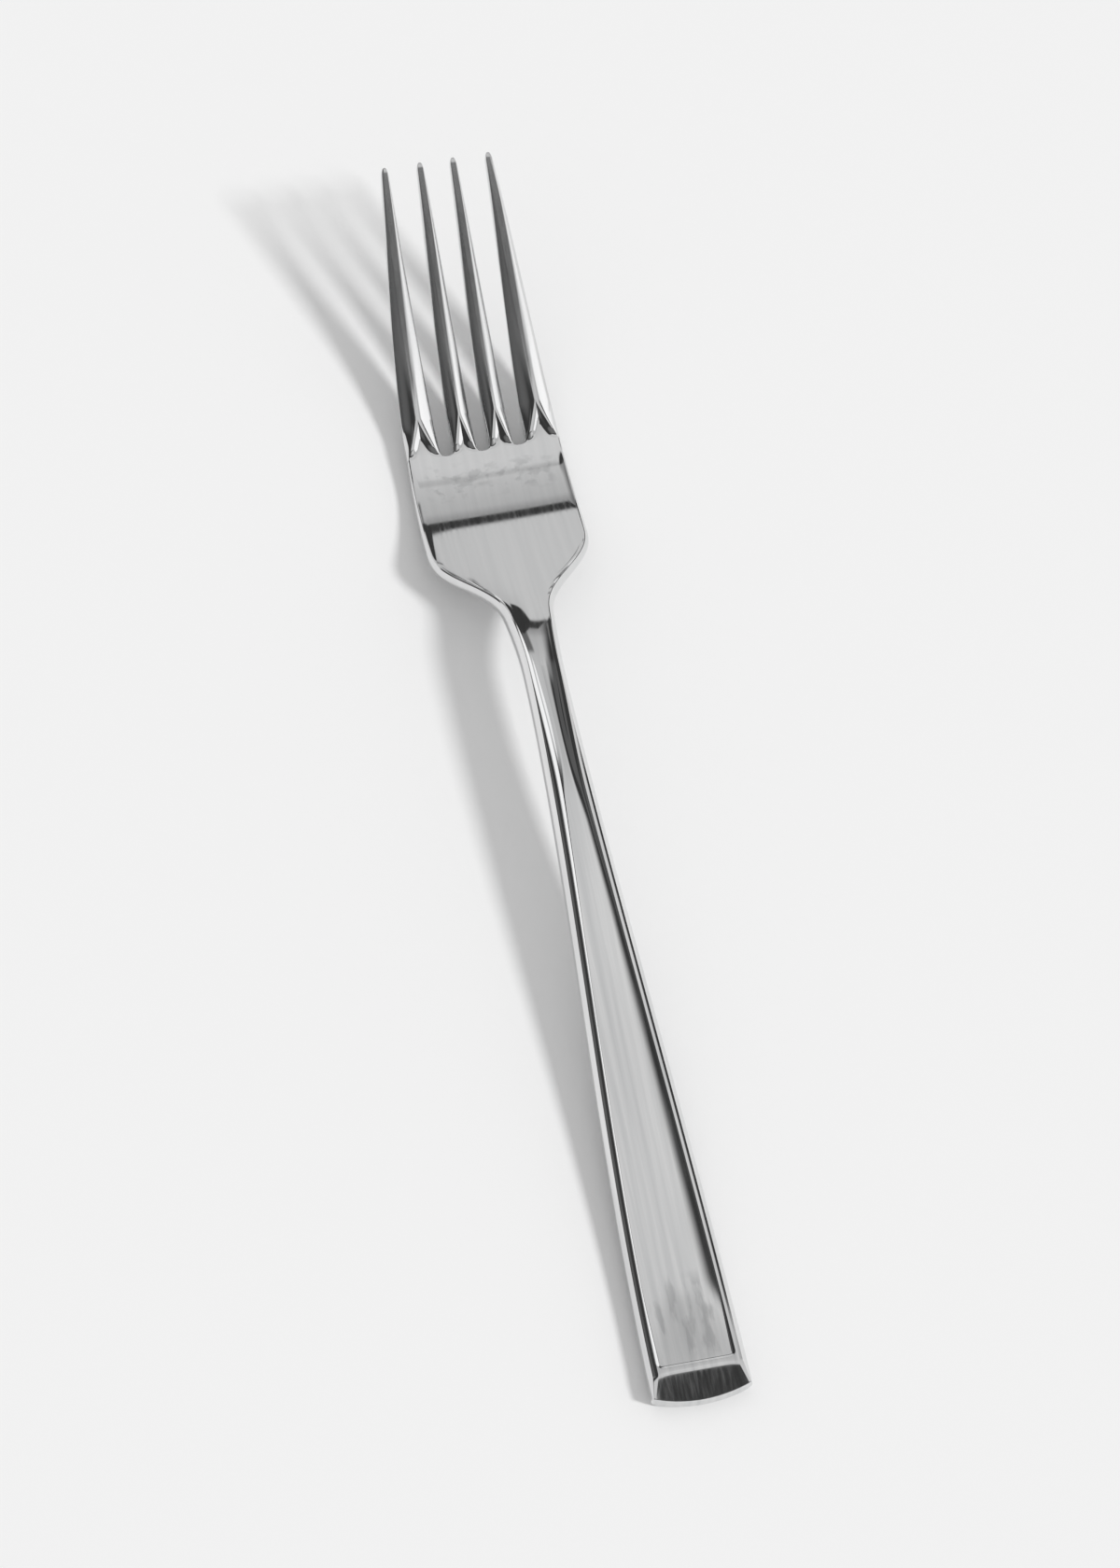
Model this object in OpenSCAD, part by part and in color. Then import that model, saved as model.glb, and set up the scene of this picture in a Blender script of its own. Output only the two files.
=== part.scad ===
// Four-tined salad fork in polished steel. The real fork is one forging, so the nodes are the
// regions of that forging, cut square across its length where they meet face to face.
// X runs across the fork, Y from the handle's end to the tine tips, Z up from the table it lies on.

/* [Overall] */
// Length from the handle's end to the tine tips, seen from above
length = 180; // [170:1:195]
// Height of the tine tips' top above the table
tip_height = 20; // [17:0.5:23]
// Height of the neck's underside above the table
neck_lift = 7.8; // [6:0.1:9]
// Depth of the flats ground into the crowned underside where the fork rests
rest_cut = 0.12; // [0.06:0.02:0.2]

/* [Head] */
// Width of the head at its widest
head_w = 22.8; // [21.5:0.1:26]
// Width over the outer tine tips
tip_span = 15.7; // [14.8:0.1:17]
// Length of the palm, from the slot bottoms back to the widest place
palm_len = 15.2; // [12:0.2:17]
// Length over which the outline narrows from the head to the neck
shoulder_len = 14.6; // [12:0.2:18]
// Thickness of the palm
palm_t = 2.4; // [2:0.1:3]
// Depth to which the palm is hollowed across its width
palm_dish = 0.35; // [0:0.05:0.6]
// Depth of the hollow's wall along the head's sides
head_depth = 0.2; // [0.05:0.05:0.3]
// Width of that wall
head_wall = 0.9; // [0.6:0.05:1]
// Width of the rim outside that wall
head_rim = 0.15; // [0.1:0.05:0.3]
// Width of the rounded edges along the head, seen from above
head_side = 0.25; // [0.15:0.05:0.6]
// Rise of the underside from the palm's middle to its sides
palm_belly = 0.8; // [0.5:0.05:1]
// Distance from the slot bottoms back to the palm's lowest place
bowl_back = 4.4; // [2:0.2:7]
// Length over which the palm's hollow fades out along the tines
dish_fade = 18; // [12:1:24]

/* [Tines] */
// Length of the tines, from slot bottom to tip
tine_len = 37.4; // [32:0.2:42]
// Width of the slots at their rounded bottoms
slot_w = 1.8; // [1.4:0.1:2.2]
// Distance between the slots' centre lines at their bottoms
slot_pitch = 5.16; // [4.8:0.02:5.5]
// Width of a tine at its tip
tine_tip_w = 0.95; // [0.8:0.05:1.2]
// Thickness of a tine at its tip
tine_tip_t = 1.3; // [1:0.1:1.6]
// Distance of the inner tine tips from the middle
inner_tip_x = 2.35; // [2.1:0.05:2.6]
// Share of the tines' upward bend that is taken before their middle
tine_sweep = 0.9; // [0.4:0.05:1]
// Length over which the tines' rounded tops grow out of the flat palm
crown_len = 8; // [6:1:16]
// Length of the rounded tips
tip_round = 1; // [0.6:0.1:1.6]

/* [Neck] */
// Width of the neck at its narrowest
neck_w = 5.8; // [5.4:0.1:7]
// Thickness of the neck
neck_t = 3.7; // [3:0.1:4.5]
// Length of the neck, from the shoulder to the start of the handle
neck_len = 28; // [20:1:36]
// Distance from the shoulder back to the neck's highest place
crest_back = 8.5; // [5:0.5:11]
// Distance from the shoulder back to the neck's narrowest place
slim_back = 9; // [6:0.5:12]

/* [Handle] */
// Width of the handle at its end
end_w = 13.7; // [12:0.1:15]
// Thickness of the handle at its end
handle_t = 3.3; // [2.8:0.1:4]
// Width of the rounded sides, seen from above
side_in = 0.9; // [0.7:0.05:1]
// Width of the rim round the sunk panel
rim_w = 0.5; // [0.35:0.05:0.6]
// Fall of the rim to its outer edge
rim_fall = 0.08; // [0.02:0.02:0.2]
// Width of the rounded lower edges, seen from below
foot_in = 0.8; // [0.5:0.05:1]
// Width of the sloping wall from the rim down to the panel
wall_w = 0.25; // [0.15:0.05:0.5]
// Depth of the panel below the rim
panel_depth = 0.1; // [0.05:0.05:0.5]
// Depth to which the panel itself is hollowed across its width
panel_dish = 0.4; // [0:0.02:0.6]
// Length over which that hollow fades out to the handle's end
panel_sweep = 12; // [6:1:16]
// Rise of the underside from the handle's middle to its sides
handle_belly = 0.35; // [0.25:0.05:0.5]

/* [Handle end] */
// Length of the end piece
end_len = 16; // [12:1:20]
// Length of the sloping facet at the end
bevel_len = 4; // [3:0.1:5]
// Drop of that facet from the rim to the end face
bevel_drop = 1.2; // [0.8:0.1:1.6]
// Radius of the end face, seen from above
end_r = 21; // [14:0.5:40]
// Length of the level underside that the handle rests on
land_len = 8; // [6:0.5:12]

/* [Hidden] */
steel = [0.74, 0.75, 0.76];

// Stations along Y
y_tip = length / 2;
y_end = -length / 2;
y_root = y_tip - tine_len;
y_wide = y_root - palm_len;
y_narrow = y_wide - shoulder_len;
y_neck = y_narrow - neck_len;
y_land = y_end + land_len;
y_bevel = y_end + bevel_len;
y_panel = y_bevel + rim_w;
y_cut = y_end + end_len;
y_crest = y_narrow - crest_back;
y_slim = y_narrow - slim_back;
y_bowl = y_root - bowl_back;

// Shares and powers that shape the sections
side_share = 0.6;
foot_share = 0.3;
corner_share = 0.15;
head_taper = 1.7;
handle_taper = 0.94;
flare_share = 0.2;
tine_taper = 1.5;
slot_edge = 0.2;
crown_share = 0.95;
tine_side_share = 0.55;
tine_foot = 0.25;
tip_thinning = 0.33;

// Steps round a section and along each piece, and stock for the cuts
side_steps = 4;
foot_steps = 3;
floor_steps = 6;
bevel_steps = 5;
wall_steps = 2;
end_steps = 6;
handle_steps = 26;
neck_steps = 12;
shoulder_steps = 20;
palm_steps = 12;
fillet_steps = 5;
crown_steps = 5;
tine_steps = 12;
tip_steps = 4;
end_stock = 0.5;
cut_depth = 2;

function clamp(t) = max(0, min(1, t));
function ease(t) = let (u = clamp(t)) u * u * (3 - 2 * u);
function soft_ease(t) = let (u = clamp(t)) u * u * u * (10 - 15 * u + 6 * u * u);
function mix(a, b, t) = a + (b - a) * t;
function steps(from, to, count) = [for (i = [0:count]) mix(from, to, i / count)];

// Progress along the handle, the shoulder's fall and the tines
function up_handle(y) = ease((y - y_land) / (y_crest - y_land));
function down_shoulder(y) = ease((y - y_crest) / (y_bowl - y_crest));
function along_tine(y) = clamp((y - y_bowl) / (y_tip - y_bowl));
function along_bevel(y) = clamp((y_bevel - y) / bevel_len);
function to_head(y) = ease((y - y_crest) / (y_wide - y_crest));
function to_border(y) = ease((y - y_end) / (y_wide - y_end));

// Half of the outline's width: the shoulder widens slowly out of the neck and then at once
function flare(y) =
    mix(soft_ease((y - y_narrow) / shoulder_len), ease((y - y_slim) / (y_wide - y_slim)), flare_share);
function half_w(y) =
    neck_w / 2
    + (end_w - neck_w) / 2 * ease(pow(clamp((y_slim - y) / (y_slim - y_end)), handle_taper))
    + (head_w - neck_w) / 2 * flare(y)
    - (head_w - tip_span) / 2 * pow(clamp((y - y_wide) / (y_tip - y_wide)), head_taper);

// Height of the underside and thickness along the middle
function base_z(y) =
    y < y_bowl ? neck_lift * (up_handle(y) - down_shoulder(y))
    : let (t = along_tine(y)) (tip_height - tine_tip_t) * t * t * (1 + tine_sweep - tine_sweep * t);
function thick(y) =
    handle_t
    + (neck_t - handle_t) * up_handle(y)
    + (palm_t - neck_t) * down_shoulder(y)
    + (tine_tip_t - palm_t) * along_tine(y)
    - bevel_drop * along_bevel(y);

// Hollow of the top, crown of the underside and depth of the sunk panel
function head_fade(y) = 1 - ease((y - y_bowl) / dish_fade);
function dish(y) =
    mix(panel_dish, palm_dish, down_shoulder(y)) * head_fade(y) * ease((y - y_panel) / panel_sweep);
function belly(y) = mix(handle_belly, palm_belly, down_shoulder(y)) * head_fade(y);
function recess(y) =
    mix(panel_depth, head_depth, to_head(y)) * ease((y - y_panel) / wall_w)
    * (1 - ease((y - y_bowl) / bowl_back));

// Widths of the border from the outline in to the panel; it draws in to the corners over the end facet
function inset(y, width) = width * mix(1, corner_share, along_bevel(y));
function side(y) = inset(y, mix(side_in, head_side, to_head(y)));
function rim(y) = inset(y, mix(rim_w, head_rim, to_border(y)));
function wall(y) = inset(y, mix(wall_w, head_wall, to_head(y)));
function floor_half(y) = half_w(y) - side(y) - rim(y) - wall(y);
function foot_half(y) = half_w(y) - foot_in;

function top_z(x, y) =
    base_z(y) + thick(y) - recess(y) - dish(y) * max(0, 1 - pow(x / floor_half(y), 2));
function bottom_z(x, y) =
    base_z(y) - rest_cut + belly(y) * min(1, pow(x / foot_half(y), 2));

// Right half of a section of the handle, neck, shoulder or palm, from underside to top
function body_half(y) =
    let (
        w = half_w(y),
        rim_x = w - side(y) - rim(y),
        rim_z = base_z(y) + thick(y),
        foot_z = bottom_z(foot_half(y), y),
        mid_z = mix(rim_z - rim_fall, foot_z, side_share)
    )
    concat(
        [for (x = steps(0, foot_half(y), floor_steps)) [x, bottom_z(x, y)]],
        [for (i = [1:foot_steps]) let (a = 90 * i / foot_steps)
            [foot_half(y) + foot_in * sin(a), mix(mid_z, foot_z, cos(a))]],
        [for (i = [1:side_steps]) let (a = 90 * i / side_steps)
            [w - side(y) * (1 - cos(a)), mix(mid_z, rim_z - rim_fall, sin(a))]],
        [[rim_x, rim_z]],
        [for (x = steps(floor_half(y), 0, floor_steps)) [x, top_z(x, y)]]
    );

function body_ring(y) =
    let (half = body_half(y), last = len(half) - 1)
    concat(
        [for (p = half) [p[0], y, p[1]]],
        [for (i = [last - 1:-1:1]) [-half[i][0], y, half[i][1]]]
    );

// Edges of the right-hand tines: the slots' round bottoms widen the tines at their roots
function slot_fillet(y) =
    let (r = slot_w / 2, q = min(r, y - y_root)) r - sqrt(r * r - pow(r - q, 2));
function along_tines(y) = (y - y_root) / tine_len;
function tip_scale(y) = sqrt(1 - pow(1 - min(1, (y_tip - y) / tip_round), 2));

function inner_edges(y) =
    let (
        t = along_tines(y),
        middle = mix(slot_pitch / 2, inner_tip_x, t),
        half = mix((slot_pitch - slot_w) / 2, tine_tip_w / 2, pow(t, tine_taper)) + slot_fillet(y)
    )
    [middle - half * tip_scale(y), middle + half * tip_scale(y)];
function outer_edges(y) =
    let (
        near = mix(slot_pitch + slot_w / 2, tip_span / 2 - tine_tip_w, along_tines(y)) - slot_fillet(y),
        middle = (near + half_w(y)) / 2,
        half = (half_w(y) - near) / 2
    )
    [middle - half * tip_scale(y), middle + half * tip_scale(y)];

// One side of a tine's section, from its foot to its crown: the edge rounding grows from the root
function tine_side(y, x, middle, root_top, root_foot) =
    let (
        grown = ease((y - y_root) / crown_len),
        reach = abs(x - middle),
        out = sign(x - middle),
        edge_t = top_z(x, y) - bottom_z(x, y),
        top_in = min(mix(root_top[0], reach * crown_share, grown), reach * crown_share),
        top_drop = edge_t * mix(root_top[1], tine_side_share, grown),
        foot_x = min(mix(root_foot[0], tine_foot, grown), reach * crown_share),
        foot_rise = edge_t * mix(root_foot[1], tine_foot, grown),
        thin = (1 - tip_scale(y)) * edge_t * tip_thinning
    )
    concat(
        [for (i = [0:foot_steps]) let (a = 90 * i / foot_steps, px = x - out * foot_x * (1 - sin(a)))
            [px, bottom_z(px, y) + foot_rise * (1 - cos(a)) + thin]],
        [for (i = [0:side_steps]) let (a = 90 * i / side_steps, px = x - out * top_in * (1 - cos(a)))
            [px, top_z(px, y) - top_drop * (1 - sin(a)) - thin]]
    );

slot_top = [slot_edge, slot_edge / 2];
body_top = [head_side, side_share];
body_foot = [foot_in, foot_share];

function tine_ring(y, edges, far_top, far_foot) =
    let (
        middle = (edges[0] + edges[1]) / 2,
        far = tine_side(y, edges[1], middle, far_top, far_foot),
        near = tine_side(y, edges[0], middle, slot_top, slot_top),
        last = len(near) - 1
    )
    concat(
        [for (p = far) [p[0], y, p[1]]],
        [for (i = [last:-1:0]) [near[i][0], y, near[i][1]]]
    );

// Stations of a tine's rings: close together at the slot's round bottom and at the rounded tip
tine_stations = concat(
    [for (i = [0:fillet_steps]) y_root + slot_w / 2 * (1 - cos(90 * i / fillet_steps))],
    [for (i = [1:crown_steps]) mix(y_root + slot_w / 2, y_root + crown_len, i / crown_steps)],
    [for (i = [1:tine_steps]) mix(y_root + crown_len, y_tip - tip_round, i / tine_steps)],
    [for (i = [1:tip_steps]) y_tip - tip_round * (1 - sin(90 * i / (tip_steps + 1)))]
);

// Closed skin over rings of points that all run the same way round
module skin(rings) {
    n = len(rings[0]);
    last = len(rings) - 1;
    sides = [for (i = [0:last - 1], j = [0:n - 1]) let (k = (j + 1) % n)
        each [[i * n + j, i * n + k, (i + 1) * n + k], [i * n + j, (i + 1) * n + k, (i + 1) * n + j]]];
    caps = [[for (j = [n - 1:-1:0]) j], [for (j = [0:n - 1]) last * n + j]];
    polyhedron(points = [for (r = rings) each r], faces = concat(sides, caps));
}

module body_span(stations) {
    skin([for (y = stations) body_ring(y)]);
}

// What lies under the table's plane is ground off, which leaves the flats that the fork rests on
module ground() {
    difference() {
        children();
        translate([-head_w, -length, -cut_depth]) cube([2 * head_w, 2 * length, cut_depth]);
    }
}

module handle_end() {
    stations = concat(
        [y_end - end_stock],
        steps(y_end, y_bevel, bevel_steps),
        steps(y_panel, y_panel + wall_w, wall_steps),
        steps(y_panel + 2 * wall_w, y_cut, end_steps)
    );
    color(steel)
    intersection() {
        ground() body_span(stations);
        translate([0, y_end + end_r, -cut_depth])
            cylinder(r = end_r, h = 2 * (cut_depth + handle_t), $fn = 96);
    }
}

module handle() {
    color(steel) ground() body_span(steps(y_cut, y_neck, handle_steps));
}

module neck() {
    color(steel) body_span(steps(y_neck, y_narrow, neck_steps));
}

module shoulder() {
    color(steel) body_span(steps(y_narrow, y_wide, shoulder_steps));
}

module palm() {
    color(steel) ground() body_span(steps(y_wide, y_root, palm_steps));
}

module inner_right_tine() {
    color(steel) skin([for (y = tine_stations) tine_ring(y, inner_edges(y), slot_top, slot_top)]);
}

module outer_right_tine() {
    color(steel) skin([for (y = tine_stations) tine_ring(y, outer_edges(y), body_top, body_foot)]);
}

module inner_left_tine() {
    mirror([1, 0, 0]) inner_right_tine();
}

module outer_left_tine() {
    mirror([1, 0, 0]) outer_right_tine();
}

handle_end();
handle();
neck();
shoulder();
palm();
outer_left_tine();
inner_left_tine();
inner_right_tine();
outer_right_tine();
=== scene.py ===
"""Four-tined salad fork in polished steel, lying on a pale table under soft studio light."""
import math

import bpy
import numpy as np
from mathutils import Matrix, Vector


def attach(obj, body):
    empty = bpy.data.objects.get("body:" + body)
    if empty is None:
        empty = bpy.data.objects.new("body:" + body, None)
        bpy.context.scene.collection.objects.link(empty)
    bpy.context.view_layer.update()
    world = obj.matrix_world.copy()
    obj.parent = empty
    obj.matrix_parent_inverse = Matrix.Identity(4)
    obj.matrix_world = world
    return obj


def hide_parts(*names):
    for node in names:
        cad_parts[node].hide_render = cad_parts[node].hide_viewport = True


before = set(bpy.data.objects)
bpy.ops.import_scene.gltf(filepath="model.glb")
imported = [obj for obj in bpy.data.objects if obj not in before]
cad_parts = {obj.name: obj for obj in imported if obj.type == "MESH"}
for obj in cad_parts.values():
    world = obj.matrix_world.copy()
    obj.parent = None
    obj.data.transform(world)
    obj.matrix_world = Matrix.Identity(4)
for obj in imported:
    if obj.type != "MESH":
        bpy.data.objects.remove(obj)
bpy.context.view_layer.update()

# Sizes in millimetres. The outline, heights and thicknesses are those of the part's source; the rounded
# sides, the rim, the wall round the panel and the tines' tops are finer here than in the solids.
MM = 0.001

# Overall
LENGTH = 180.0
TIP_HEIGHT = 20.0  # top of the tine tips above the table
NECK_LIFT = 7.8  # underside of the neck above the table
REST_CUT = 0.12  # depth of the flats that the fork rests on

# Head
HEAD_W = 22.8
TIP_SPAN = 15.7  # width over the outer tine tips
PALM_LEN = 15.2  # from the slot bottoms back to the widest place
SHOULDER_LEN = 14.6
PALM_T = 2.4
PALM_DISH = 0.35  # hollow across the palm
PALM_BELLY = 0.8  # rise of the underside to its sides
BOWL_BACK = 4.4  # from the slot bottoms back to the palm's lowest place
DISH_FADE = 18.0  # run over which the palm's hollow fades out along the tines
HEAD_DEPTH = 0.16  # depth of the wall along the head's sides
HEAD_WALL = 0.9  # width of that wall
HEAD_RIM = 0.15  # width of the rim outside it
HEAD_SIDE = 0.25  # rounded edges, seen from above
FLARE_SHARE = 0.2  # share of the shoulder's flare that already starts on the neck
HEAD_TAPER = 1.7  # power by which the head narrows to the tips

# Tines
TINE_LEN = 37.4
SLOT_W = 1.8
SLOT_PITCH = 5.16
TINE_TIP_W = 0.95
TINE_TIP_T = 1.3
INNER_TIP_X = 2.35
TINE_SWEEP = 0.9  # share of the upward bend that is taken before the tines' middle
TINE_TAPER = 1.5  # power by which the inner tines narrow
TIP_ROUND = 1.0  # length of the rounded tips
TIP_END = math.radians(72)  # turn at which that rounding stops
TIP_THINNING = 0.38  # share of the thickness that each face of the rounded tips gives up
THINNING_SOFT = 0.06  # softness of the place where the tines begin to thin
TINE_SIDE_SHARE = 0.40  # share of the thickness that the crown falls to each side
TINE_FOOT_IN, TINE_FOOT_SHARE = 0.25, 0.25  # rounded lower edges: width, and share of the thickness
SLOT_EDGE, SLOT_EDGE_SHARE = 0.2, 0.1  # rounded edges at the slot bottoms, likewise

# Crowned tops of the tines, and the sunk tongues of the palm that run up into them
CROWN_LEN = 5.6  # run in which the crown closes in over the tongue
CROWN_BOW = 1.08  # power of that closing in
CROWN_SHARE, TIP_CROWN_SHARE = 0.97, 0.32  # share of a half width that is crown, at the root and at the tip
CROWN_TAPER = 1.4  # power of the change between them
ROOF_SHARE, ROOF_FADE = 0.8, 2  # how much the crown is a roof, not round, and the power by which that fades
RIDGE_ROUND = 0.45  # softness of the roof's ridge
TONGUE_DEPTH, TONGUE_WALL = 0.3, 1.15
TONGUE_PACE = 3  # its wall rises in a third of the crown's run, and fades in a third of the rest

# Neck
NECK_W = 5.8
NECK_T = 3.7
NECK_LEN = 28.0
CREST_BACK = 8.5  # from the shoulder back to the neck's highest place
SLIM_BACK = 9.0  # from the shoulder back to the neck's narrowest place
NECK_DISH = 0.28  # hollow across the neck
NECK_DISH_Y, NECK_DISH_RUN = -10.0, 20.0  # where it takes over from the panel's
NECK_SWELL_Y, NECK_SWELL_LEN = 4.0, 20.0  # where the wall is wider and deeper
NECK_SWELL_WALL, NECK_SWELL_DEPTH = 0.5, 0.24

# Handle
END_W = 13.7
HANDLE_T = 3.3
HANDLE_TAPER = 0.94  # power by which the handle widens
HANDLE_BELLY = 0.35  # rise of the underside to its sides
SIDE_IN = 0.75  # rounded sides, seen from above
SIDE_SHARE = 0.6  # share of a side's height that is above its widest place
SIDE_ARC = math.radians(40)  # turn of the sides' upper part
FOOT_IN, FOOT_SHARE = 0.8, 0.3  # rounded lower edges: width, and share of the thickness
RIM_W = 0.75
RIM_SLOPE, RIM_START = 0.3, 0.25  # the rim's outer slope, and the share of it at the inner edge
RIM_SOFT = 0.035  # softness of the edge between rim and wall
RIM_RUN = 20.0  # run over which the rim changes to the head's
WALL_W = 0.18
WALL_BOW = 0.6  # how much steeper than its mean the wall starts, and how much flatter it ends
PANEL_DEPTH = 0.08
PANEL_SLOPE = 0.145  # slope of the panel's hollow at its sides
PANEL_SWEEP = 12.0  # run to the handle's end over which that hollow fades out and the wall swells
PANEL_CORNER = 0.9  # radius of the panel's corners
END_SWELL_WALL, END_SWELL_DEPTH = 0.35, 0.14  # wider and deeper wall at the handle's end

# Handle's end
END_LEN = 16.0
BEVEL_LEN, BEVEL_DROP, BEVEL_SOFT = 4.0, 1.2, 0.12  # sloping facet, and the softness of its edge
CORNER_ROUND, CORNER_POWER = 1.0, 6  # how far the facet's edge bends at its corners, and by which power
CORNER_SHARE = 0.15  # share of the edges' widths that is left at the end face
END_R = 21.0  # radius of the end face, seen from above
END_ROLL = 0.14  # rounding into the end face
LAND_LEN = 8.0  # level underside that the handle rests on

# Stations along the fork
Y_TIP = LENGTH / 2
Y_END = -LENGTH / 2
Y_ROOT = Y_TIP - TINE_LEN
Y_WIDE = Y_ROOT - PALM_LEN
Y_NARROW = Y_WIDE - SHOULDER_LEN
Y_NECK = Y_NARROW - NECK_LEN
Y_LAND = Y_END + LAND_LEN
Y_BEVEL = Y_END + BEVEL_LEN
Y_PANEL = Y_BEVEL + RIM_W
Y_CUT = Y_END + END_LEN
Y_CREST = Y_NARROW - CREST_BACK
Y_SLIM = Y_NARROW - SLIM_BACK
Y_BOWL = Y_ROOT - BOWL_BACK

# Columns of a body section's right half, from the middle of the underside to the middle of the top.
# The upper part has as many as the lower, so that they pair up in the faces across an end.
BOTTOM_N, FOOT_N, SIDE_N, WALL_N = 27, 8, 8, 8
RIM_SHARES = np.array([0.06, 0.5, 0.94, 1.0])
RIM_N = len(RIM_SHARES)
FLOOR_N = BOTTOM_N + FOOT_N - SIDE_N - RIM_N - WALL_N
HALF_N = 2 * (BOTTOM_N + FOOT_N) + 1
SIDE_SPACING, WALL_SPACING = 1.5, 1.4  # powers that crowd the columns where the bend is tight
BEND_ROUNDS = 3  # rounds in which the end facet's rings settle on the round end

# Columns of one side of a tine's section, in the same order
TINE_BOTTOM_N, TINE_FOOT_N, TINE_CROWN_N, TINE_WALL_N, TINE_TONGUE_N = 15, 8, 14, 7, 3

# Rings along the pieces; those at the end facet's edge are close together
FACET_N, FACET_EDGE_N, PANEL_END_N = 16, 36, 14
FACET_EDGE_FROM, FACET_EDGE_TO = Y_BEVEL - 0.4, Y_PANEL + 1.6
HANDLE_N, NECK_N, HEAD_N = 86, 56, 60
SLOT_END_N, TIP_N, TINE_STEP = 11, 12, 0.35
ROLL_STEPS = 4
BODY_PROBE, TINE_PROBE = 0.01, 0.0025  # steps along the fork over which normals are measured
TIP_GAP = 1e-4  # nearest that such a step comes to a tip's end
WELD = 3e-4  # ring points closer than this become one
TINY = 1e-12


# Eased changes and mixes
def ease(t):
    u = np.clip(t, 0, 1)
    return u * u * (3 - 2 * u)


def soft_ease(t):
    """An ease with softer ends."""
    u = np.clip(t, 0, 1)
    return u * u * u * (10 - 15 * u + 6 * u * u)


def eased(y, start, run):
    """An ease along the fork, from 0 at start to 1 after run."""
    return ease((y - start) / run)


def mix(a, b, t):
    return a + (b - a) * t


def ramp(d, soft):
    """max(0, d) with its corner rounded over about soft."""
    return (d + np.sqrt(d * d + soft * soft)) / 2


def shares(n):
    return np.arange(1, n + 1) / n


def quarter(n):
    """The n turns that share a quarter circle."""
    return shares(n) * math.pi / 2


def unit(v):
    return v / np.maximum(np.linalg.norm(v, axis=-1, keepdims=True), TINY)


# Changes along the fork
def up_handle(y):
    return eased(y, Y_LAND, Y_CREST - Y_LAND)


def down_shoulder(y):
    return eased(y, Y_CREST, Y_BOWL - Y_CREST)


def to_head(y):
    return eased(y, Y_CREST, Y_WIDE - Y_CREST)


def head_fade(y):
    return 1 - eased(y, Y_BOWL, DISH_FADE)


def along_bevel(y):
    return ramp(Y_BEVEL - y, BEVEL_SOFT) / BEVEL_LEN


def neck_swell(y):
    return np.exp(-((y - NECK_SWELL_Y) / NECK_SWELL_LEN) ** 2)


def end_swell(y):
    return 1 - eased(y, Y_PANEL, PANEL_SWEEP)


def along_tine(y):
    return np.clip((y - Y_BOWL) / (Y_TIP - Y_BOWL), 0, 1)


def thinning(y):
    """Share of the way from the palm's thickness to the tips', with a soft start."""
    e = THINNING_SOFT
    return (np.sqrt(along_tine(y) ** 2 + e * e) - e) / (math.sqrt(1 + e * e) - e)


# Outline, heights and thickness along the fork
def half_w(y):
    flare = mix(soft_ease((y - Y_NARROW) / SHOULDER_LEN), eased(y, Y_SLIM, Y_WIDE - Y_SLIM), FLARE_SHARE)
    taper = np.clip((Y_SLIM - y) / (Y_SLIM - Y_END), 0, 1) ** HANDLE_TAPER
    head = np.clip((y - Y_WIDE) / (Y_TIP - Y_WIDE), 0, 1) ** HEAD_TAPER
    return (NECK_W / 2 + (END_W - NECK_W) / 2 * ease(taper) + (HEAD_W - NECK_W) / 2 * flare
            - (HEAD_W - TIP_SPAN) / 2 * head)


def base_z(y):
    t = along_tine(y)
    return np.where(y < Y_BOWL, NECK_LIFT * (up_handle(y) - down_shoulder(y)),
                    (TIP_HEIGHT - TINE_TIP_T) * t * t * (1 + TINE_SWEEP - TINE_SWEEP * t))


def thick(y):
    return (HANDLE_T + (NECK_T - HANDLE_T) * up_handle(y) + (PALM_T - NECK_T) * down_shoulder(y)
            + (TINE_TIP_T - PALM_T) * thinning(y))


# Widths across a section, which shrink on the end facet
def inset(y, width):
    return width * mix(1, CORNER_SHARE, np.clip(along_bevel(y), 0, 1))


def side(y):
    return inset(y, mix(SIDE_IN, HEAD_SIDE, eased(y, Y_NARROW, Y_ROOT - Y_NARROW)))


def rim(y):
    return inset(y, mix(RIM_W, HEAD_RIM, eased(y, Y_NECK, RIM_RUN)))


def wall(y):
    plain = mix(WALL_W, HEAD_WALL, to_head(y))
    return inset(y, plain + NECK_SWELL_WALL * neck_swell(y) + END_SWELL_WALL * end_swell(y))


def rim_outer(y):
    return half_w(y) - side(y)


def rim_inner(y):
    return rim_outer(y) - rim(y)


def floor_half(y):
    return rim_inner(y) - wall(y)


def foot_half(y):
    return half_w(y) - FOOT_IN


# Top and underside
def down_wall(x, y):
    """Share of the way across the wall, from the rim to the panel with its round corners."""
    qx = PANEL_CORNER - (rim_inner(y) - np.abs(x))
    qy = PANEL_CORNER - (y - Y_PANEL)
    outside = np.hypot(np.maximum(qx, 0), np.maximum(qy, 0))
    inside = PANEL_CORNER - outside - np.minimum(np.maximum(qx, qy), 0)
    return np.clip(ramp(inside, RIM_SOFT) / wall(y), 0, 1)


def recess(y):
    """Depth of the panel below the rim."""
    plain = mix(PANEL_DEPTH, HEAD_DEPTH, to_head(y)) * (1 - eased(y, Y_BOWL, BOWL_BACK))
    return plain + NECK_SWELL_DEPTH * neck_swell(y) + END_SWELL_DEPTH * end_swell(y)


def rim_fall(x, y):
    """Drop of the rim's convex slope."""
    out = np.clip(np.abs(x) - rim_inner(y), 0, rim(y))
    return RIM_SLOPE * (RIM_START * out + (1 - RIM_START) * out * out / (2 * rim(y)))


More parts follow.
